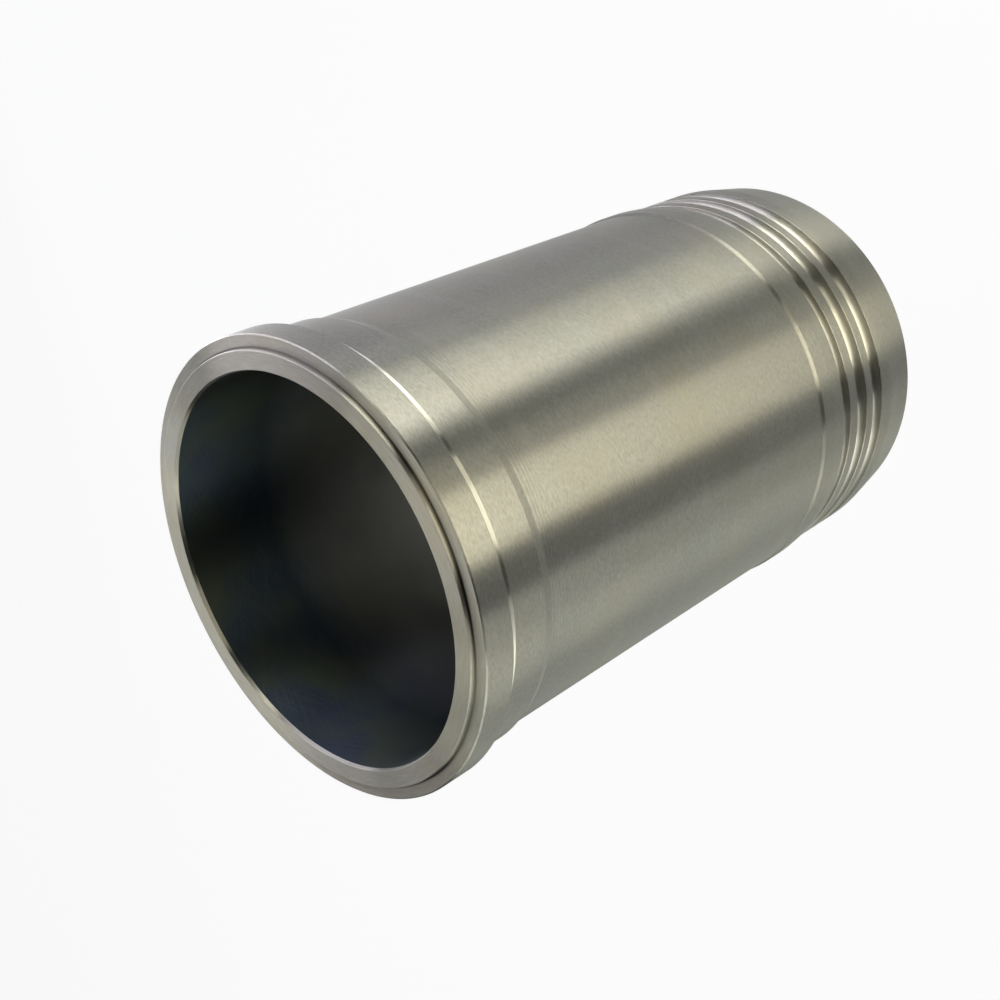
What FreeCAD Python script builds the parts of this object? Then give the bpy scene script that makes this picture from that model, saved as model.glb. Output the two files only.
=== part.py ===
import FreeCAD, Part
import Sketcher
import os

# Wet cylinder liner of a heavy diesel engine, turned from one cast-iron tube.
# It stands on its skirt end with the flange up: the origin is the centre of the skirt end on the bore's
# axis and +Z runs along the bore towards the fire ring. Every length is in millimetres.

SIZES = [
    ("total_length", 232.0, "skirt end to the top of the fire ring"),
    ("bore_dia", 125.0, "honed bore"),
    ("mouth_lead_width", 0.45, "how far the bore's mouth opens, on the radius"),
    ("mouth_lead_depth", 1.4, "how far that lead reaches down the bore"),
    ("bore_exit_chamfer", 1.0, "chamfer of the bore at the skirt end, each way"),
    ("fire_ring_wall", 6.2, "bore out to the fire ring's rim"),
    ("fire_ring_height", 1.6, "fire ring above the flange's top"),
    ("fire_ring_chamfer", 0.3, "chamfer of the fire ring's rim"),
    ("jacket_wall", 6.6, "bore out to the wall that stands in the coolant"),
    ("upper_pilot_step", 1.2, "upper pilot proud of the jacket wall"),
    ("upper_pilot_length", 15.9, "flange's seat down to the end of the upper pilot"),
    ("upper_taper_length", 3.5, "taper from the upper pilot down to the jacket wall"),
    ("flange_width", 2.8, "flange proud of the upper pilot"),
    ("flange_thickness", 10.7, "flange's top down to its seat"),
    ("flange_chamfer", 0.4, "chamfers of the flange's two rims"),
    ("relief_width", 3.5, "relief groove under the seat, along the axis"),
    ("relief_depth", 1.0, "relief groove below the upper pilot"),
    ("relief_ramp", 1.8, "ramp from the relief back up to the upper pilot"),
    ("relief_rounding", 0.5, "corner radii at the relief's ramp"),
    ("relief_root_bevel", 0.5, "bevel in the relief's root, under the seat"),
    ("collar_step", 0.7, "lower pilot's collar proud of the jacket wall"),
    ("collar_ramp", 1.2, "ramp from the jacket wall out to the collar"),
    ("collar_length", 6.4, "straight part of the collar"),
    ("run_out_length", 8.7, "collar's end down to the middle of the narrow groove"),
    ("run_out_drop", 0.8, "fall of the run-out over that length, on the radius"),
    ("seal_land_step", 1.1, "lands of the seal grooves below the collar, on the radius"),
    ("groove_pitch", 10.1, "middle of one seal groove to the next"),
    ("wide_groove_count", 2, "full-size seal grooves"),
    ("wide_groove_width", 5.9, "full-size seal groove"),
    ("wide_groove_depth", 3.5, "full-size seal groove below its land"),
    ("narrow_groove_width", 4.8, "narrow seal groove above them"),
    ("narrow_groove_depth", 3.0, "narrow seal groove below its land"),
    ("groove_bevel", 1.5, "bevel between a seal groove's walls and its floor, each way"),
    ("groove_lip", 0.3, "break of a seal groove's lips, each way"),
    ("lowest_land_width", 6.2, "lowest groove's lip to the shoulder of the skirt's taper"),
    ("skirt_taper_length", 17.3, "lead-in taper at the skirt end, along the axis"),
    ("skirt_end_wall", 3.3, "bore out to the skirt end's rim"),
    ("skirt_rim_chamfer", 0.5, "chamfer of the skirt end's rim"),
    ("shoulder_blend", 14.0, "radius from the lowest land into the skirt's taper"),
    ("pilot_edge_radius", 1.0, "radius of the pilots' edges that lead onto a taper"),
    ("tool_nose_radius", 0.8, "radius that the turning tool leaves at the foot of a taper"),
]

# Radii from the bore's axis and heights above the skirt end, each written once as a sum of the sizes.
BORE = "0.5 * bore_dia"
FIRE_RING = f"{BORE} + fire_ring_wall"
JACKET = f"{BORE} + jacket_wall"
UPPER_PILOT = f"{JACKET} + upper_pilot_step"
RELIEF = f"{UPPER_PILOT} - relief_depth"
FLANGE = f"{UPPER_PILOT} + flange_width"
COLLAR = f"{JACKET} + collar_step"
RUN_OUT = f"{COLLAR} - run_out_drop"
LAND = f"{COLLAR} - seal_land_step"
SKIRT_RIM = f"{BORE} + skirt_end_wall"

TOP = "total_length"
FLANGE_TOP = f"{TOP} - fire_ring_height"
SEAT = f"{FLANGE_TOP} - flange_thickness"
RELIEF_END = f"{SEAT} - relief_width"
PILOT_END = f"{SEAT} - upper_pilot_length"
JACKET_TOP = f"{PILOT_END} - upper_taper_length"
SKIRT_END = "0"
SHOULDER = "skirt_taper_length"
LOWEST_GROOVE = f"{SHOULDER} + lowest_land_width + 0.5 * wide_groove_width"
NARROW_GROOVE = f"{LOWEST_GROOVE} + wide_groove_count * groove_pitch"
COLLAR_END = f"{NARROW_GROOVE} + run_out_length"
COLLAR_TOP = f"{COLLAR_END} + collar_length"
JACKET_END = f"{COLLAR_TOP} + collar_ramp"

# The narrow groove's upper lip lies on the run-out, a little further out than the lands.
RUN_OUT_LIP = f"{RUN_OUT} + 0.5 * narrow_groove_width * run_out_drop / run_out_length"

# A sketch's own horizontal axis starts at its origin, and a line has these two points.
HORIZONTAL_AXIS = -1
START, END = 1, 2

FULL_TURN = 360
SAME_PLACE = 1e-4

doc = FreeCAD.newDocument("CylinderLiner")
sheet = doc.addObject("Spreadsheet::Sheet", "Sizes")
for row, (alias, value, meaning) in enumerate(SIZES, start=1):
    sheet.set(f"A{row}", meaning)
    sheet.set(f"B{row}", str(value))
    sheet.setAlias(f"B{row}", alias)
doc.recompute()

body = doc.addObject("PartDesign::Body", "Liner")
body.Label = "cylinder_liner"
body.Placement = FreeCAD.Placement()


def measure(text):
    """The value of a sum of sizes and their products, such as 'total_length - 2 * groove_pitch'."""
    total = 0.0
    for product in text.replace(" - ", " + -1 * ").split(" + "):
        value = 1.0
        for factor in product.replace(" / ", " * /").split(" * "):
            word = factor.lstrip("/")
            number = float(sheet.get(word)) if word[0].isalpha() else float(word)
            value = value / number if factor.startswith("/") else value * number
        total += value
    return total


def bound(text):
    """The same sum as an expression that reads the spreadsheet."""
    return " ".join(f"Sizes.{word}" if word[0].isalpha() else word for word in text.split())


def axial_sketch(name):
    """A sketch on the plane through the bore's axis: across is the radius, up is the height."""
    sketch = body.newObject("Sketcher::SketchObject", name)
    plane = next(p for p in body.Origin.OriginFeatures if p.Role == "XZ_Plane")
    sketch.AttachmentSupport = [(plane, "")]
    sketch.MapMode = "FlatFace"
    return sketch


def dimension(sketch, kind, geometry, vertex, name, text):
    """Places one point of the sketch, across or up from the origin, by a sum of sizes."""
    constraint = Sketcher.Constraint(kind, HORIZONTAL_AXIS, START, geometry, vertex, measure(text))
    sketch.renameConstraint(sketch.addConstraint(constraint), name)
    sketch.setExpression(f"Constraints.{name}", bound(text))


def draw_outline(sketch, corners):
    """A closed outline through named corners, each with its radius and its height."""
    points = [FreeCAD.Vector(measure(radius), measure(height), 0) for _, radius, height in corners]
    following = points[1:] + points[:1]
    for point, next_point in zip(points, following):
        sketch.addGeometry(Part.LineSegment(point, next_point), False)
    for i, (name, radius, height) in enumerate(corners):
        next_line = (i + 1) % len(corners)
        sketch.addConstraint(Sketcher.Constraint("Coincident", i, END, next_line, START))
        dimension(sketch, "DistanceX", i, START, f"{name}_radius", radius)
        if height == SKIRT_END:
            sketch.addConstraint(Sketcher.Constraint("PointOnObject", i, START, HORIZONTAL_AXIS))
        else:
            dimension(sketch, "DistanceY", i, START, f"{name}_height", height)


def turn(kind, name, sketch):
    """Revolves a sketch once round the bore's axis, as metal or as a cut."""
    before = body.Shape.Volume if body.Tip else 0
    feature = body.newObject(kind, name)
    feature.Profile = sketch
    feature.ReferenceAxis = (sketch, ["V_Axis"])
    feature.Angle = FULL_TURN
    body.Tip = feature
    doc.recompute()
    if (body.Shape.Volume > before) == (kind == "PartDesign::Groove"):
        raise RuntimeError(f"{name} did not change the solid as it should")
    return feature


def rim(radius, height):
    """The name of the round edge of one radius at one height on the body as it stands."""
    for number, edge in enumerate(body.Tip.Shape.Edges, start=1):
        curve = edge.Curve
        if isinstance(curve, Part.Circle) and abs(curve.Center.z - measure(height)) < SAME_PLACE:
            if abs(curve.Radius - radius) < SAME_PLACE:
                return f"Edge{number}"
    raise RuntimeError(f"no edge of radius {radius} at {height}")


def dress(kind, name, size_property, alias, edges):
    """Fillets or chamfers some of the body's edges by one size of the spreadsheet."""
    base = body.Tip
    feature = body.newObject(kind, name)
    feature.Base = (base, edges)
    feature.setExpression(size_property, f"Sizes.{alias}")
    body.Tip = feature
    doc.recompute()


def cut_seal_groove(name, height, width, depth, upper_land):
    """A ring groove round one height: broken lips, straight walls and a bevel from each to the floor."""
    sketch = axial_sketch(f"{name}_section")
    floor = f"{LAND} - {depth}"
    bevel_top = f"{floor} + groove_bevel"
    lower_side = f"{height} - 0.5 * {width}"
    upper_side = f"{height} + 0.5 * {width}"
    draw_outline(sketch, [
        ("lower_mouth", f"{LAND} + groove_lip", f"{lower_side} - 2 * groove_lip"),
        ("upper_mouth", f"{upper_land} + groove_lip", f"{upper_side} + 2 * groove_lip"),
        ("upper_lip", f"{upper_land} - groove_lip", upper_side),
        ("upper_wall", bevel_top, upper_side),
        ("upper_floor", floor, f"{upper_side} - groove_bevel"),
        ("lower_floor", floor, f"{lower_side} + groove_bevel"),
        ("lower_wall", bevel_top, lower_side),
        ("lower_lip", f"{LAND} - groove_lip", lower_side),
    ])
    return turn("PartDesign::Groove", name, sketch)


# The tube as it is turned and bored: up the bore from the skirt end, over the fire ring and down the outside.
tube = axial_sketch("tube_section")
draw_outline(tube, [
    ("exit_face", f"{BORE} + bore_exit_chamfer", SKIRT_END),
    ("exit_wall", BORE, "bore_exit_chamfer"),
    ("mouth_wall", BORE, f"{TOP} - mouth_lead_depth"),
    ("mouth_face", f"{BORE} + mouth_lead_width", TOP),
    ("ring_rim", FIRE_RING, TOP),
    ("ring_foot", FIRE_RING, FLANGE_TOP),
    ("flange_rim", FLANGE, FLANGE_TOP),
    ("seat_rim", FLANGE, SEAT),
    ("seat_root", UPPER_PILOT, SEAT),
    ("pilot_end", UPPER_PILOT, PILOT_END),
    ("jacket_top", JACKET, JACKET_TOP),
    ("jacket_end", JACKET, JACKET_END),
    ("collar_top", COLLAR, COLLAR_TOP),
    ("collar_end", COLLAR, COLLAR_END),
    ("run_out_end", RUN_OUT, NARROW_GROOVE),
    ("land_top", LAND, NARROW_GROOVE),
    ("shoulder", LAND, SHOULDER),
    ("skirt_rim", SKIRT_RIM, SKIRT_END),
])
turn("PartDesign::Revolution", "turned_tube", tube)

# Relief in the corner under the flange: undercut at the seat, then a ramp back up to the upper pilot.
relief = axial_sketch("relief_section")
draw_outline(relief, [
    ("root", RELIEF, SEAT),
    ("rise", RELIEF, f"{RELIEF_END} + relief_ramp"),
    ("lip", UPPER_PILOT, RELIEF_END),
    ("corner", UPPER_PILOT, SEAT),
])
turn("PartDesign::Groove", "relief_groove", relief)

# The full-size seal grooves are one cut, repeated up the skirt. The narrow one above them is its own cut
# and takes the seal on the coolant's side.
wide_groove = cut_seal_groove("wide_groove", LOWEST_GROOVE, "wide_groove_width", "wide_groove_depth", LAND)
wide_grooves = body.newObject("PartDesign::LinearPattern", "wide_grooves")
wide_grooves.Originals = [wide_groove]
wide_grooves.Direction = (wide_groove.Profile[0], ["V_Axis"])
wide_grooves.setExpression("Occurrences", "Sizes.wide_groove_count")
wide_grooves.setExpression("Length", "Sizes.groove_pitch * (Sizes.wide_groove_count - 1)")
body.Tip = wide_grooves
doc.recompute()
cut_seal_groove("narrow_groove", NARROW_GROOVE, "narrow_groove_width", "narrow_groove_depth", RUN_OUT_LIP)

# Rims and roots that the turning tool breaks or blends, from the top down.
dress("PartDesign::Chamfer", "ring_rim", "Size", "fire_ring_chamfer", [rim(measure(FIRE_RING), TOP)])
dress("PartDesign::Chamfer", "flange_rims", "Size", "flange_chamfer",
      [rim(measure(FLANGE), FLANGE_TOP), rim(measure(FLANGE), SEAT)])
dress("PartDesign::Chamfer", "relief_root", "Size", "relief_root_bevel", [rim(measure(RELIEF), SEAT)])
dress("PartDesign::Fillet", "relief_corners", "Radius", "relief_rounding",
      [rim(measure(RELIEF), f"{RELIEF_END} + relief_ramp"), rim(measure(UPPER_PILOT), RELIEF_END)])
dress("PartDesign::Fillet", "pilot_edges", "Radius", "pilot_edge_radius",
      [rim(measure(UPPER_PILOT), PILOT_END), rim(measure(COLLAR), COLLAR_TOP)])
dress("PartDesign::Fillet", "taper_feet", "Radius", "tool_nose_radius",
      [rim(measure(JACKET), JACKET_TOP), rim(measure(JACKET), JACKET_END)])

dress("PartDesign::Fillet", "skirt_shoulder", "Radius", "shoulder_blend", [rim(measure(LAND), SHOULDER)])
dress("PartDesign::Chamfer", "skirt_rim", "Size", "skirt_rim_chamfer", [rim(measure(SKIRT_RIM), SKIRT_END)])

for feature in doc.Objects:
    if "Invalid" in feature.State or "Error" in feature.State:
        raise RuntimeError(f"{feature.Name} did not build: {feature.State}")
if body.Shape.isNull() or not body.Shape.isValid():
    raise RuntimeError("the liner's solid is not valid")

os.makedirs("parts", exist_ok=True)
body.Shape.exportStep(os.path.join("parts", f"{body.Label}.step"))
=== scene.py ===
import math
import bpy
from mathutils import Matrix, Vector


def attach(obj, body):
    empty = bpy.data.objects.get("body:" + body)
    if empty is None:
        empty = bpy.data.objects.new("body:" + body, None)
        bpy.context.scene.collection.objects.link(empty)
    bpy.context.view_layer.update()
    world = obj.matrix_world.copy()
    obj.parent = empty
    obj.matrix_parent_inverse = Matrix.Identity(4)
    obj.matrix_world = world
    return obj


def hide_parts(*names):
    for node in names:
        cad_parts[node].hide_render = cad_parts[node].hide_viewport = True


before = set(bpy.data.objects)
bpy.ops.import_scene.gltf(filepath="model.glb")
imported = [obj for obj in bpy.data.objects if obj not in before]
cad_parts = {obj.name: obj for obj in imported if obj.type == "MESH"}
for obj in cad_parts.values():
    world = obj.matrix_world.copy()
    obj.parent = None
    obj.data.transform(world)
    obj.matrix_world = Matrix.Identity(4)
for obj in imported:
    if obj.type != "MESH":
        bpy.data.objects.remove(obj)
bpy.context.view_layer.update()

MM = 0.001

# Sizes of the liner in mm, standing on its skirt end.
LENGTH = 232.0
BORE = 62.5
MOUTH_LEAD_WIDTH = 0.45
MOUTH_LEAD_DEPTH = 1.4
BORE_EXIT = 1.0
FIRE_RING = 68.7
FLANGE = 73.1
FLANGE_TOP = 230.4
SEAT = 219.7
FLANGE_CHAMFER = 0.4
RELIEF = 69.3
RELIEF_RAMP_TOP = 218.0
RELIEF_END = 216.2
UPPER_PILOT = 70.3
PILOT_END = 203.8
JACKET = 69.1
JACKET_TOP = 200.3
JACKET_END = 62.95
COLLAR = 69.8
COLLAR_TOP = 61.75
COLLAR_END = 55.35
RUN_OUT = 69.0
LAND = 68.7
NARROW_GROOVE = 46.65
NARROW_WIDTH = 4.8
NARROW_DEPTH = 3.0
WIDE_GROOVES = (36.55, 26.45)
WIDE_WIDTH = 5.9
WIDE_DEPTH = 3.5
SHOULDER = 17.3
SKIRT_RIM = 65.8

# Roundings of the corners in mm.
BROKEN_EDGE = 0.1
GROOVE_LIP = 0.3
RING_EDGE = 0.3
TOOL_NOSE = 0.8
PILOT_EDGE = 1.0
RELIEF_CORNER = 0.5
RUN_OUT_BLEND = 2.0
SHOULDER_BLEND = 14.0
SKIRT_EDGE = 0.5

# A groove's floor radius for each mm of its width: just under half, so that its two arcs fit.
ROUND_FLOOR = 0.498

# How the section is divided: the arcs' steps, and how far off an arc a flat gets its own point.
ARC_STEP = math.radians(12)
FEWEST_STEPS = 3
HOLD = 0.12
ROOM_TO_HOLD = 4 * HOLD
STEPS_ROUND = 320

# A finish ends this many mm past the corner that bounds it.
ZONE_EDGE = 0.05

# How much a mark moves along the axis for each mm across a face, so that one pattern suits
# walls and faces.
FEED_LEAN = 0.7

# Depth in mm of the marks that cutting and honing leave.
MARK_DEPTH = 0.03

# The film of oil lies in patches about this many mm across.
OIL_PATCH = 30.0

# The rub marks' length and width in mm, and the tone that rubbing leaves on turned iron.
RUB_MARK = (22.0, 5.0)
RUBBED_BRIGHT = "#9A9A94"

# Rings left by the slowing tool: their spacing in mm, the heights between which they grow,
# the height where they stop, how high they are against the flecks, and their tone.
RING_SPACING = 1.3
RINGS_START = JACKET_TOP - 9.0
RINGS_FULL = JACKET_TOP - 1.0
RINGS_STOP = JACKET_TOP - 0.8
RING_HEIGHT = 1.8
RING_DULL = "#73736E"

# The painted shade in the corner at the fire ring's foot, where the crease lies in shade: its
# tone, and how far in mm it is full and how far it reaches.
PAINTED_CREASE_SHADE = "#35332D"
CREASE_SHADE_FULL = 0.3
CREASE_SHADE_REACH = 0.9

# The honing lines' length and width in mm, and their climb for each mm round the bore.
HONE_LINE = (25.0, 0.6)
HONE_LEAN = 0.45

# The darkening's blotches and clouds in mm, and the heights between which the bore is painted
# paler going down, with the pale tone below them: painted light for the light that comes up the
# bore.
BLOTCH = 25.0
CLOUD = 30.0
DARK_ABOVE = 198.0
PAINTED_LIGHT_BELOW = 120.0
DEEP_BORE_PAINTED_LIGHT = "#B4B4AC"

# The studio's paint, and how much of it is evenly white, seen straight and seen in the metal.
STUDIO_PAINT = "#B9BDBF"
WHITE_SEEN = 0.93
WHITE_MIRRORED = 0.15

# The floor's edge and the low backdrop in metres: radius and height.
BACKDROP = ((2.6, 0.0), (2.9, 0.05), (3.0, 0.15), (3.02, 0.64))
BACKDROP_STEPS = 96

# The liner hangs this many metres over the floor, so that light comes up its bore.
FLOOR_BELOW = 0.10

ROOM_DARK = "#222426"

# The photograph's view: where the camera is in metres, and where its right and its front point.
CAMERA_PLACE = (0.0, -0.3617, 0.4526)
CAMERA_RIGHT = (-0.4395, -0.5784, -0.6873)
CAMERA_FORWARD = (-0.0122, 0.7688, -0.6393)
FOCAL_LENGTH = 51.57
SENSOR_WIDTH = 36.0


def groove(height, width, depth, upper_land):
    """A seal groove's corners from its lower lip to its upper one: straight walls, round floor."""
    low = height - 0.5 * width
    high = height + 0.5 * width
    floor = LAND - depth
    round_floor = ROUND_FLOOR * width
    return [
        (LAND, low, GROOVE_LIP),
        (floor, low, round_floor),
        (floor, high, round_floor),
        (upper_land, high, GROOVE_LIP),
    ]


def liner_corners():
    """The section's corners, up the outside and down the bore: radius, height and rounding."""
    # The narrow groove cuts into the collar's run-out, so its upper lip lies a little further out.
    run_out_slope = (COLLAR - RUN_OUT) / (COLLAR_END - NARROW_GROOVE)
    narrow_lip = RUN_OUT + 0.5 * NARROW_WIDTH * run_out_slope
    corners = [
        (BORE + BORE_EXIT, 0.0, BROKEN_EDGE),
        (SKIRT_RIM, 0.0, SKIRT_EDGE),
        (LAND, SHOULDER, SHOULDER_BLEND),
    ]
    for height in reversed(WIDE_GROOVES):
        corners += groove(height, WIDE_WIDTH, WIDE_DEPTH, LAND)
    corners += groove(NARROW_GROOVE, NARROW_WIDTH, NARROW_DEPTH, narrow_lip)
    corners += [
        (COLLAR, COLLAR_END, RUN_OUT_BLEND),
        (COLLAR, COLLAR_TOP, GROOVE_LIP),
        (JACKET, JACKET_END, TOOL_NOSE),
        (JACKET, JACKET_TOP, TOOL_NOSE),
        (UPPER_PILOT, PILOT_END, PILOT_EDGE),
        (UPPER_PILOT, RELIEF_END, RELIEF_CORNER),
        (RELIEF, RELIEF_RAMP_TOP, RELIEF_CORNER),
        (RELIEF, SEAT, RELIEF_CORNER),
        (FLANGE - FLANGE_CHAMFER, SEAT, BROKEN_EDGE),
        (FLANGE, SEAT + FLANGE_CHAMFER, BROKEN_EDGE),
        (FLANGE, FLANGE_TOP - FLANGE_CHAMFER, BROKEN_EDGE),
        (FLANGE - FLANGE_CHAMFER, FLANGE_TOP, BROKEN_EDGE),
        (FIRE_RING, FLANGE_TOP, RING_EDGE),
        (FIRE_RING, LENGTH, RING_EDGE),
        (BORE + MOUTH_LEAD_WIDTH, LENGTH, BROKEN_EDGE),
        (BORE, LENGTH - MOUTH_LEAD_DEPTH, BROKEN_EDGE),
        (BORE, BORE_EXIT, BROKEN_EDGE),
    ]
    return corners


def rounded_outline(corners):
    """Points of the closed outline: an arc at each corner, and a point just off it on a flat."""
    points = []
    for i, (radius, height, rounding) in enumerate(corners):
        corner = Vector((radius, height))
        before = Vector(corners[i - 1][:2]) - corner
        after = Vector(corners[(i + 1) % len(corners)][:2]) - corner
        opening = before.angle(after)
        turn = math.pi - opening
        run = rounding * math.tan(0.5 * turn)
        inwards = (before.normalized() + after.normalized()).normalized()
        centre = corner + inwards * rounding / math.sin(0.5 * opening)
        start = corner + before.normalized() * run
        steps = max(FEWEST_STEPS, math.ceil(turn / ARC_STEP))
        spoke = start - centre
        side = 1 if before.x * after.y - before.y * after.x < 0 else -1
        if before.length - run > ROOM_TO_HOLD:
            points.append(start + before.normalized() * HOLD)
        for k in range(steps + 1):
            points.append(centre + Matrix.Rotation(side * turn * k / steps, 2) @ spoke)
        if after.length - run > ROOM_TO_HOLD:
            points.append(points[-1] + after.normalized() * HOLD)
    return points


def linear(hex_colour):
    """An sRGB hex colour as linear red, green, blue and alpha."""
    parts = [int(hex_colour[i:i + 2], 16) / 255 for i in (1, 3, 5)]
    return [p / 12.92 if p <= 0.04045 else ((p + 0.055) / 1.055) ** 2.4 for p in parts] + [1.0]


def add(tree, kind, settings=None, **links):
    """Adds one node with its settings.

    Each link or value goes to the input of that name, or of that number after an i. A mix of
    colours takes its share at i0, what lies below at i6 and what lies over it at i7, and gives
    its colour at output 2.
    """
    made = tree.nodes.new(kind)
    for key, value in (settings or {}).items():
        setattr(made, key, value)
    for key, value in links.items():
        numbered = key[0] == "i" and key[1:].isdigit()
        socket = made.inputs[int(key[1:]) if numbered else key.replace("_", " ")]
        if isinstance(value, bpy.types.NodeSocket):
            tree.links.new(value, socket)
        else:
            socket.default_value = value
    return made


def new_material(name):
    """An empty material and its node tree."""
    material = bpy.data.materials.new(name)
    material.use_nodes = True
    material.node_tree.nodes.clear()
    return material, material.node_tree


def round_the_axis(tree):
    """Object coordinates, their part across the axis, the radius and the height, in metres."""
    place = add(tree, "ShaderNodeTexCoord").outputs["Object"]
    axes = add(tree, "ShaderNodeSeparateXYZ", Vector=place)
    across = add(tree, "ShaderNodeCombineXYZ", X=axes.outputs["X"], Y=axes.outputs["Y"])
    radius = add(tree, "ShaderNodeVectorMath", {"operation": "LENGTH"}, i0=across.outputs[0])
    return place, across.outputs[0], radius.outputs["Value"], axes.outputs["Z"]


def tool_marks(tree, length, width, detail):
    """Noise drawn out round the axis into marks of this length and width in mm."""
    _, across, radius, height = round_the_axis(tree)
    feed = add(tree, "ShaderNodeMath", {"operation": "MULTIPLY_ADD"},
               i0=radius, i1=-FEED_LEAN, i2=height)
    rows = add(tree, "ShaderNodeMath", {"operation": "MULTIPLY"},
               i0=feed.outputs[0], i1=1 / (width * MM))
    drawn = add(tree, "ShaderNodeVectorMath", {"operation": "SCALE"},
                i0=across, Scale=1 / (length * MM))
    turns = add(tree, "ShaderNodeSeparateXYZ", Vector=drawn.outputs[0])
    grid = add(tree, "ShaderNodeCombineXYZ",
               X=turns.outputs["X"], Y=turns.outputs["Y"], Z=rows.outputs[0])
    marks = add(tree, "ShaderNodeTexNoise",
                Scale=1.0, Detail=detail, Roughness=0.55, Vector=grid.outputs[0])
    return marks.outputs[0]


def slowing_rings(tree, height):
    """A wave along the axis that grows towards the upper taper and stops there."""
    turns = add(tree, "ShaderNodeMath", {"operation": "MULTIPLY"},
                i0=height, i1=2 * math.pi / (RING_SPACING * MM))
    ripple = add(tree, "ShaderNodeMath", {"operation": "SINE"}, i0=turns.outputs[0])
    slowed = add(tree, "ShaderNodeMapRange",
                 Value=height, From_Min=RINGS_START * MM, From_Max=RINGS_FULL * MM)
    stopped = add(tree, "ShaderNodeMath", {"operation": "LESS_THAN"},
                  i0=height, i1=RINGS_STOP * MM)
    near = add(tree, "ShaderNodeMath", {"operation": "MULTIPLY"},
               i0=slowed.outputs[0], i1=stopped.outputs[0])
    rings = add(tree, "ShaderNodeMath", {"operation": "MULTIPLY"},
                i0=near.outputs[0], i1=ripple.outputs[0])
    return rings.outputs[0]


def crease_painted_shade(tree, radius, height):
    """The share of painted shade over the iron, by the distance from the fire ring's foot."""
    outwards = add(tree, "ShaderNodeMath", {"operation": "SUBTRACT"}, i0=radius, i1=FIRE_RING * MM)
    upwards = add(tree, "ShaderNodeMath", {"operation": "SUBTRACT"}, i0=height, i1=FLANGE_TOP * MM)
    offset = add(tree, "ShaderNodeCombineXYZ", X=outwards.outputs[0], Y=upwards.outputs[0])
    away = add(tree, "ShaderNodeVectorMath", {"operation": "LENGTH"}, i0=offset.outputs[0])
    crease_shade = add(tree, "ShaderNodeMapRange", Value=away.outputs["Value"],
                From_Min=CREASE_SHADE_FULL * MM, From_Max=CREASE_SHADE_REACH * MM, To_Min=0.75, To_Max=0.0)
    return crease_shade.outputs[0]


def turned_iron(name, bright, dull, stain, roughness, flecks, bump):
    """Grey cast iron cut on a lathe. The tool's rings draw each reflection out across them."""
    material, tree = new_material(name)
    place, _, radius, height = round_the_axis(tree)
    # Short flecks where the tool tore the graphite, drawn coarser than the real ones, which are
    # too fine for the picture.
    fine = tool_marks(tree, *flecks, detail=2.0)
    clear = add(tree, "ShaderNodeMapRange", Value=fine, From_Min=0.3, From_Max=0.7)
    metal = add(tree, "ShaderNodeMix", {"data_type": "RGBA"},
                i0=clear.outputs[0], i6=linear(dull), i7=linear(bright))
    # A thin yellowish film of oil in patches. It also dulls the iron a little.
    wiped = add(tree, "ShaderNodeTexNoise",
                Scale=1 / (OIL_PATCH * MM), Detail=3.0, Roughness=0.6, Vector=place)
    film = add(tree, "ShaderNodeMapRange", Value=wiped.outputs[0],
               From_Min=0.45, From_Max=0.8, To_Min=0.0, To_Max=0.6)
    oiled = add(tree, "ShaderNodeMix", {"data_type": "RGBA"},
                i0=film.outputs[0], i6=metal.outputs[2], i7=linear(stain))
    rough = add(tree, "ShaderNodeMapRange", Value=wiped.outputs[0],
                From_Min=0.3, From_Max=0.7, To_Min=roughness - 0.02, To_Max=roughness + 0.03)
    # Light rub marks from handling, long and curved round the liner.
    rubbed = tool_marks(tree, *RUB_MARK, detail=1.0)
    rub = add(tree, "ShaderNodeMapRange", Value=rubbed,
              From_Min=0.56, From_Max=0.80, To_Min=0.0, To_Max=0.30)
    handled = add(tree, "ShaderNodeMix", {"data_type": "RGBA"},
                  i0=rub.outputs[0], i6=oiled.outputs[2], i7=linear(RUBBED_BRIGHT))
    # A few fine dull rings where the tool slowed before the upper taper.
    rings = slowing_rings(tree, height)
    shade = add(tree, "ShaderNodeMapRange", Value=rings,
                From_Min=0.1, From_Max=0.9, To_Min=0.0, To_Max=0.35)
    ringed = add(tree, "ShaderNodeMix", {"data_type": "RGBA"},
                 i0=shade.outputs[0], i6=handled.outputs[2], i7=linear(RING_DULL))
    # Painted shade: the corner at the fire ring's foot is darkened, as the crease lies in shade.
    crease_shade = crease_painted_shade(tree, radius, height)
    tone = add(tree, "ShaderNodeMix", {"data_type": "RGBA"},
               i0=crease_shade, i6=ringed.outputs[2], i7=linear(PAINTED_CREASE_SHADE))
    cut = add(tree, "ShaderNodeMath", {"operation": "MULTIPLY_ADD"},
              i0=rings, i1=RING_HEIGHT, i2=fine)
    relief = add(tree, "ShaderNodeBump",
                 Strength=bump, Distance=MARK_DEPTH * MM, Height=cut.outputs[0])
    lay = add(tree, "ShaderNodeTangent", {"direction_type": "RADIAL", "axis": "Z"})
    skin = add(tree, "ShaderNodeBsdfPrincipled", Metallic=1.0, Base_Color=tone.outputs[2],
               Roughness=rough.outputs[0], Anisotropic=1.0, Anisotropic_Rotation=0.25,
               Normal=relief.outputs[0], Tangent=lay.outputs[0])
    add(tree, "ShaderNodeOutputMaterial", Surface=skin.outputs[0])
    return material


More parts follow.
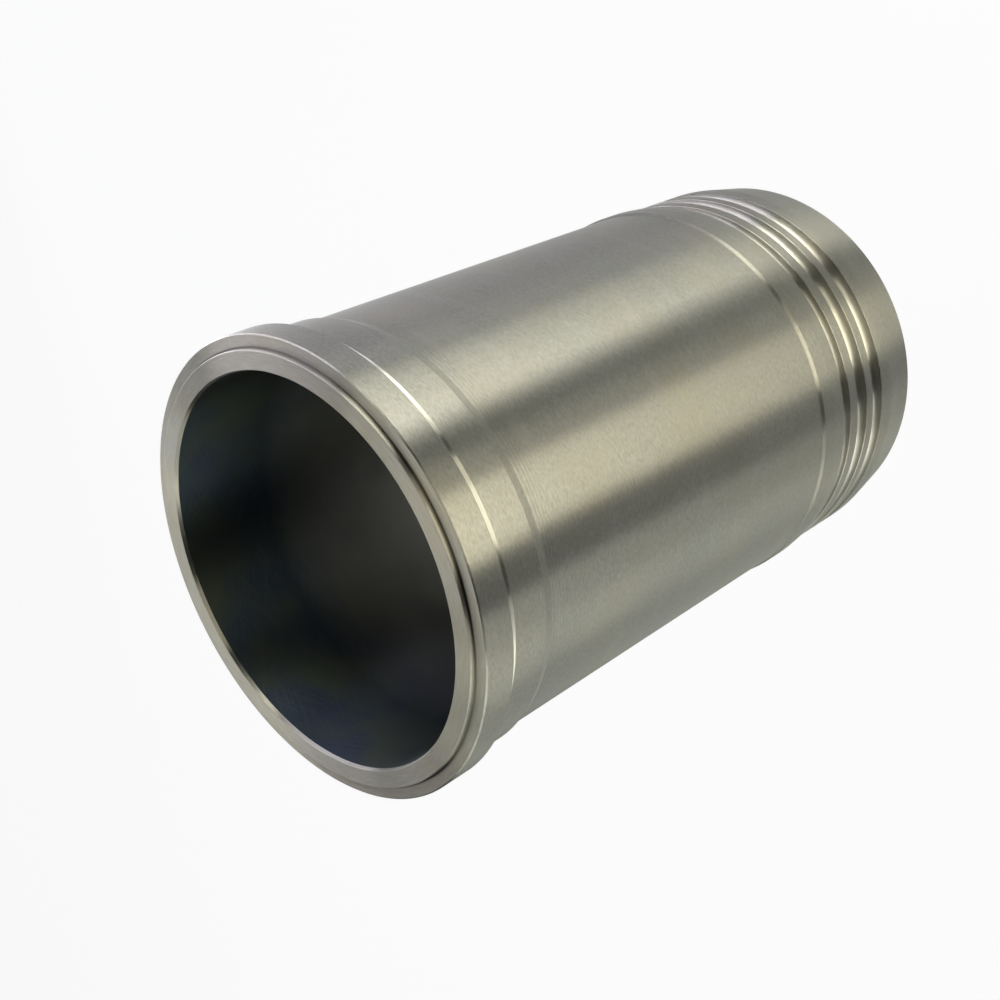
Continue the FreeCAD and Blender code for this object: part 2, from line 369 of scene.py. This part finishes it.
def honing_lines(tree, across, height):
    """Two sets of fine lines that cross each other, climbing one way and the other."""
    axes = add(tree, "ShaderNodeSeparateXYZ", Vector=across)
    turn = add(tree, "ShaderNodeMath", {"operation": "ARCTAN2"},
               i0=axes.outputs["Y"], i1=axes.outputs["X"])
    arc = add(tree, "ShaderNodeMath", {"operation": "MULTIPLY"}, i0=turn.outputs[0], i1=BORE * MM)
    length, width = HONE_LINE
    lines = []
    for lean in (HONE_LEAN, -HONE_LEAN):
        along = add(tree, "ShaderNodeMath", {"operation": "MULTIPLY_ADD"},
                    i0=height, i1=lean, i2=arc.outputs[0])
        over = add(tree, "ShaderNodeMath", {"operation": "MULTIPLY_ADD"},
                   i0=arc.outputs[0], i1=-lean, i2=height)
        flat = add(tree, "ShaderNodeCombineXYZ", X=along.outputs[0], Y=over.outputs[0])
        grid = add(tree, "ShaderNodeVectorMath", {"operation": "MULTIPLY"},
                   i0=flat.outputs[0], i1=(1 / (length * MM), 1 / (width * MM), 1.0))
        lines.append(add(tree, "ShaderNodeTexNoise",
                         Scale=1.0, Detail=2.0, Roughness=0.55, Vector=grid.outputs[0]))
    crossed = add(tree, "ShaderNodeMath", {"operation": "MAXIMUM"},
                  i0=lines[0].outputs[0], i1=lines[1].outputs[0])
    return crossed.outputs[0]


def honed_iron(name, bright, dull, olive, roughness, bump):
    """Cast iron honed and then darkened: nearly matt and blue-black, with fine crossed lines."""
    material, tree = new_material(name)
    place, across, _, height = round_the_axis(tree)
    # The lines are drawn coarser than the real ones, which are too fine for the picture.
    crossed = honing_lines(tree, across, height)
    clear = add(tree, "ShaderNodeMapRange", Value=crossed, From_Min=0.45, From_Max=0.7)
    metal = add(tree, "ShaderNodeMix", {"data_type": "RGBA"},
                i0=clear.outputs[0], i6=linear(dull), i7=linear(bright))
    # The darkening took unevenly and left soft olive blotches.
    uneven = add(tree, "ShaderNodeTexNoise",
                 Scale=1 / (BLOTCH * MM), Detail=2.0, Roughness=0.5, Vector=place)
    blotch = add(tree, "ShaderNodeMapRange", Value=uneven.outputs[0],
                 From_Min=0.42, From_Max=0.65, To_Min=0.0, To_Max=0.8)
    blotched = add(tree, "ShaderNodeMix", {"data_type": "RGBA"},
                   i0=blotch.outputs[0], i6=metal.outputs[2], i7=linear(olive))
    # Painted light: the bore is painted paler and greyer further down, where light comes up from
    # its open end.
    down = add(tree, "ShaderNodeMapRange",
               Value=height, From_Min=DARK_ABOVE * MM, From_Max=PAINTED_LIGHT_BELOW * MM)
    graded = add(tree, "ShaderNodeMix", {"data_type": "RGBA"},
                 i0=down.outputs[0], i6=blotched.outputs[2], i7=linear(DEEP_BORE_PAINTED_LIGHT))
    # Soft dark clouds of it lie here and there.
    clouded = add(tree, "ShaderNodeTexNoise",
                  Scale=1 / (CLOUD * MM), Detail=1.0, Roughness=0.5, Vector=place)
    cloud = add(tree, "ShaderNodeMapRange", Value=clouded.outputs[0],
                From_Min=0.45, From_Max=0.72, To_Min=0.0, To_Max=0.30)
    tone = add(tree, "ShaderNodeMix", {"data_type": "RGBA"},
               i0=cloud.outputs[0], i6=graded.outputs[2], i7=linear(dull))
    relief = add(tree, "ShaderNodeBump", Strength=bump, Distance=MARK_DEPTH * MM, Height=crossed)
    lay = add(tree, "ShaderNodeTangent", {"direction_type": "RADIAL", "axis": "Z"})
    skin = add(tree, "ShaderNodeBsdfPrincipled", Metallic=1.0, Base_Color=tone.outputs[2],
               Roughness=roughness, Anisotropic=0.85, Anisotropic_Rotation=0.25,
               Normal=relief.outputs[0], Tangent=lay.outputs[0])
    add(tree, "ShaderNodeOutputMaterial", Surface=skin.outputs[0])
    return material


def turning_tree(finishes):
    """Sweeps the section round the axis and gives each zone of the liner its finish."""
    tree = bpy.data.node_groups.new("turn_the_section", "GeometryNodeTree")
    sockets = tree.interface
    sockets.new_socket("Section", in_out="INPUT", socket_type="NodeSocketGeometry")
    sockets.new_socket("Steps round", in_out="INPUT", socket_type="NodeSocketInt")
    for name in ("Turning radius", "Bore radius", "Groove lip radius", "Lowest groove",
                 "Highest groove", "Relief foot", "Relief top", "Flange top"):
        sockets.new_socket(name, in_out="INPUT", socket_type="NodeSocketFloat")
    sockets.new_socket("Liner", in_out="OUTPUT", socket_type="NodeSocketGeometry")
    given = add(tree, "NodeGroupInput").outputs

    section = add(tree, "GeometryNodeMeshToCurve", Mesh=given["Section"])
    path = add(tree, "GeometryNodeCurvePrimitiveCircle",
               Resolution=given["Steps round"], Radius=given["Turning radius"])
    swept = add(tree, "GeometryNodeCurveToMesh",
                Curve=path.outputs["Curve"], Profile_Curve=section.outputs["Curve"])
    smooth = add(tree, "GeometryNodeSetShadeSmooth", Geometry=swept.outputs["Mesh"])
    plain = add(tree, "GeometryNodeRealizeInstances", Geometry=smooth.outputs["Geometry"])

    place = add(tree, "GeometryNodeInputPosition")
    axes = add(tree, "ShaderNodeSeparateXYZ", Vector=place.outputs[0])
    across = add(tree, "ShaderNodeCombineXYZ", X=axes.outputs["X"], Y=axes.outputs["Y"])
    reach = add(tree, "ShaderNodeVectorMath", {"operation": "LENGTH"}, i0=across.outputs[0])
    height = axes.outputs["Z"]
    radius = reach.outputs["Value"]

    # The grooves: inside the lips' radius, from the lowest groove to the highest.
    sunk = add(tree, "FunctionNodeCompare", {"operation": "LESS_THAN"},
               i0=radius, i1=given["Groove lip radius"])
    above = add(tree, "FunctionNodeCompare", {"operation": "GREATER_THAN"},
                i0=height, i1=given["Lowest groove"])
    below = add(tree, "FunctionNodeCompare", {"operation": "LESS_THAN"},
                i0=height, i1=given["Highest groove"])
    among = add(tree, "FunctionNodeBooleanMath", {"operation": "AND"},
                i0=above.outputs[0], i1=below.outputs[0])
    grooved = add(tree, "FunctionNodeBooleanMath", {"operation": "AND"},
                  i0=sunk.outputs[0], i1=among.outputs[0])
    # The relief under the flange, cut with the same tool.
    over_foot = add(tree, "FunctionNodeCompare", {"operation": "GREATER_THAN"},
                    i0=height, i1=given["Relief foot"])
    under_top = add(tree, "FunctionNodeCompare", {"operation": "LESS_THAN"},
                    i0=height, i1=given["Relief top"])
    relieved = add(tree, "FunctionNodeBooleanMath", {"operation": "AND"},
                   i0=over_foot.outputs[0], i1=under_top.outputs[0])
    recessed = add(tree, "FunctionNodeBooleanMath", {"operation": "OR"},
                   i0=grooved.outputs[0], i1=relieved.outputs[0])
    topmost = add(tree, "FunctionNodeCompare", {"operation": "GREATER_THAN"},
                  i0=height, i1=given["Flange top"])
    inside = add(tree, "FunctionNodeCompare", {"operation": "LESS_THAN"},
                 i0=radius, i1=given["Bore radius"])

    # The wall's finish goes on everything, and each later one over it in its own zone.
    zones = [
        ("wall", None),
        ("groove", recessed.outputs[0]),
        ("face", topmost.outputs[0]),
        ("bore", inside.outputs[0]),
    ]
    part = plain.outputs["Geometry"]
    for name, zone in zones:
        painted = add(tree, "GeometryNodeSetMaterial", Geometry=part, Material=finishes[name])
        if zone:
            tree.links.new(zone, painted.inputs["Selection"])
        part = painted.outputs["Geometry"]
    add(tree, "NodeGroupOutput", Liner=part)
    return tree


def turned_liner(finishes):
    """The liner as one plain mesh, swept from its section."""
    turning_radius = 0.5 * (BORE + FLANGE)
    points = rounded_outline(liner_corners())
    edges = [(i, (i + 1) % len(points)) for i in range(len(points))]
    section = bpy.data.meshes.new("liner_section")
    # A swept section lies in the path's own plane, where Y points down.
    flat = [((p.x - turning_radius) * MM, -p.y * MM, 0.0) for p in points]
    section.from_pydata(flat, edges, [])
    blank = bpy.data.objects.new("liner_blank", section)
    bpy.context.scene.collection.objects.link(blank)

    tree = turning_tree(finishes)
    turning = blank.modifiers.new("turning", "NODES")
    turning.node_group = tree
    values = {
        "Steps round": STEPS_ROUND,
        "Turning radius": turning_radius * MM,
        "Bore radius": (BORE + ZONE_EDGE) * MM,
        "Groove lip radius": (LAND - ZONE_EDGE) * MM,
        "Lowest groove": (min(WIDE_GROOVES) - 0.5 * WIDE_WIDTH) * MM,
        "Highest groove": (NARROW_GROOVE + 0.5 * NARROW_WIDTH) * MM,
        "Relief foot": RELIEF_END * MM,
        "Relief top": (SEAT - ZONE_EDGE) * MM,
        "Flange top": (FLANGE_TOP - ZONE_EDGE) * MM,
    }
    for item in tree.interface.items_tree:
        if item.name in values:
            turning[item.identifier] = values[item.name]

    shown = blank.evaluated_get(bpy.context.evaluated_depsgraph_get())
    mesh = bpy.data.meshes.new_from_object(shown)
    bpy.data.objects.remove(blank)
    liner = bpy.data.objects.new("turned_liner", mesh)
    bpy.context.scene.collection.objects.link(liner)
    return liner


def lit_face(name, width, height, strength, tone):
    """A flat soft box. Its strength is how bright its face is, where 1 is white."""
    lamp = bpy.data.lights.new(name, "AREA")
    lamp.shape = "RECTANGLE"
    lamp.size = width
    lamp.size_y = height
    lamp.energy = strength * math.pi * width * height
    lamp.color = linear(tone)[:3]
    box = bpy.data.objects.new(name, lamp)
    box.visible_camera = False
    bpy.context.scene.collection.objects.link(box)
    return box


def soft_box(name, bearing, spread, bottom, top, distance, strength, tone):
    """An upright soft box facing the liner.

    Its bearing from the camera's side and its spread are in degrees, the other sizes in metres.
    """
    turn = math.radians(bearing)
    width = 2 * distance * math.tan(math.radians(0.5 * spread))
    box = lit_face(name, width, top - bottom, strength, tone)
    box.location = (-distance * math.sin(turn), -distance * math.cos(turn), 0.5 * (bottom + top))
    inwards = Vector((math.sin(turn), math.cos(turn), 0.0))
    box.rotation_euler = inwards.to_track_quat("-Z", "Z").to_euler()


def overhead_box(name, place, width, depth, strength, tone):
    """A soft box facing straight down. Its place and sizes are in metres."""
    box = lit_face(name, width, depth, strength, tone)
    box.location = place


def pale_paint():
    """Matt pale paint. A share of it is evenly white, larger seen straight than in the metal."""
    material, tree = new_material("matt_studio_paint")
    rays = add(tree, "ShaderNodeLightPath").outputs
    mirrored = add(tree, "ShaderNodeMath", {"operation": "MAXIMUM"},
                   i0=rays["Is Glossy Ray"], i1=rays["Is Transmission Ray"])
    within = add(tree, "ShaderNodeMath", {"operation": "MULTIPLY"},
                 i0=mirrored.outputs[0], i1=WHITE_MIRRORED)
    share = add(tree, "ShaderNodeMath", {"operation": "MULTIPLY_ADD"},
                i0=rays["Is Camera Ray"], i1=WHITE_SEEN, i2=within.outputs[0])
    # The rest is lit as any paint is, so the floor keeps the liner's shadow.
    paint = add(tree, "ShaderNodeBsdfDiffuse", Color=linear(STUDIO_PAINT))
    white = add(tree, "ShaderNodeEmission", Strength=1.0)
    shown = add(tree, "ShaderNodeMixShader",
                i0=share.outputs[0], i1=paint.outputs[0], i2=white.outputs[0])
    add(tree, "ShaderNodeOutputMaterial", Surface=shown.outputs[0])
    return material


def studio_floor():
    """A pale floor that turns up into a low backdrop all round."""
    steps = BACKDROP_STEPS
    points = [(0.0, 0.0, 0.0)]
    for radius, height in BACKDROP:
        for k in range(steps):
            turn = 2 * math.pi * k / steps
            points.append((radius * math.cos(turn), radius * math.sin(turn), height))
    faces = [(0, 1 + k, 1 + (k + 1) % steps) for k in range(steps)]
    for ring in range(len(BACKDROP) - 1):
        low = 1 + ring * steps
        high = low + steps
        for k in range(steps):
            after = (k + 1) % steps
            faces.append((low + k, high + k, high + after, low + after))
    mesh = bpy.data.meshes.new("floor")
    mesh.from_pydata(points, [], faces)
    mesh.materials.append(pale_paint())
    for face in mesh.polygons:
        face.use_smooth = True
    floor = bpy.data.objects.new("floor", mesh)
    floor.location.z = -FLOOR_BELOW
    bpy.context.scene.collection.objects.link(floor)
    return floor


def dark_room():
    """The room round the soft boxes: evenly dark, as the metal's dark bands show it."""
    world = bpy.data.worlds.new("dark_room")
    world.use_nodes = True
    world.node_tree.nodes["Background"].inputs["Color"].default_value = linear(ROOM_DARK)
    bpy.context.scene.world = world


def soft_boxes():
    """The soft boxes whose reflections make the liner's bright bands."""
    # Bearing, spread, bottom, top, distance, strength and tone.
    soft_box("warm_key_box", -47.0, 16.0, 0.01, 0.46, 0.6, 12.0, "#FFFBEC")
    soft_box("key_corner_box", -36.0, 14.0, 0.37, 0.46, 0.6, 3.4, "#FFFBEC")
    soft_box("key_side_box", -66.0, 14.0, 0.10, 0.36, 0.6, 2.5, "#FAFCFF")
    soft_box("low_front_box", 11.0, 30.0, 0.01, 0.20, 0.6, 8.2, "#FFF6DB")
    soft_box("high_front_box", 3.0, 40.0, 0.20, 0.54, 0.6, 3.3, "#FFF8E2")
    soft_box("right_box", 66.0, 10.0, 0.01, 0.50, 0.6, 6.6, "#FFFDF3")
    soft_box("right_wall_box", 98.0, 42.0, 0.05, 1.90, 1.6, 2.9, "#FEFFF4")
    soft_box("left_wall_box", -107.0, 41.0, 0.10, 0.72, 0.45, 4.8, "#F6F1FF")
    soft_box("rear_left_box", -150.0, 45.0, 0.08, 0.40, 0.8, 3.4, "#F1F3FF")
    soft_box("rear_box", 180.0, 16.0, 0.80, 2.60, 1.6, 2.5, "#FFFAF6")
    # Place, width, depth, strength and tone. It stands behind the liner, so that it lights the
    # faces round the mouth and not the wall.
    overhead_box("overhead_box", (-0.06, 0.32, 0.95), 0.76, 0.30, 2.9, "#FFFCF4")


def camera():
    """The photograph's view: past the flange, with the liner's axis turned across the picture."""
    lens = bpy.data.cameras.new("camera")
    lens.sensor_width = SENSOR_WIDTH
    lens.lens = FOCAL_LENGTH
    lens.clip_start = 0.01
    holder = bpy.data.objects.new("camera", lens)
    right = Vector(CAMERA_RIGHT).normalized()
    forward = Vector(CAMERA_FORWARD).normalized()
    up = right.cross(forward).normalized()
    turned = Matrix((right, up, -forward)).transposed()
    holder.matrix_world = Matrix.Translation(CAMERA_PLACE) @ turned.to_4x4()
    bpy.context.scene.collection.objects.link(holder)
    bpy.context.scene.camera = holder


# Four finishes. The flecks are their length and width in mm.
finishes = {
    # A satin wall, finely turned.
    "wall": turned_iron("fine_turned_cast_iron", bright="#94948D", dull="#81817B", stain="#8A877A",
                        roughness=0.36, flecks=(1.5, 0.5), bump=0.35),
    # The faces round the mouth, a little duller, with longer marks.
    "face": turned_iron("faced_cast_iron", bright="#97978F", dull="#8B8B84", stain="#968F75",
                        roughness=0.39, flecks=(5.0, 0.4), bump=0.25),
    # The grooves and the relief, cut smoother with a round-nosed tool, and painted paler than the
    # wall: a painted sheen that makes their highlights brighter.
    "groove": turned_iron("grooved_iron_painted_sheen", bright="#A8A8A1", dull="#9E9E97", stain="#9E988A",
                          roughness=0.30, flecks=(3.0, 0.4), bump=0.15),
    # The bore, honed and darkened.
    "bore": honed_iron("honed_dark_cast_iron", bright="#373F48", dull="#2C343D", olive="#3C4239",
                       roughness=0.52, bump=0.3),
}
liner = turned_liner(finishes)
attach(liner, "root")
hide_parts("cylinder_liner")

floor = studio_floor()
dark_room()
soft_boxes()
camera()
bpy.context.scene.view_settings.view_transform = "Standard"
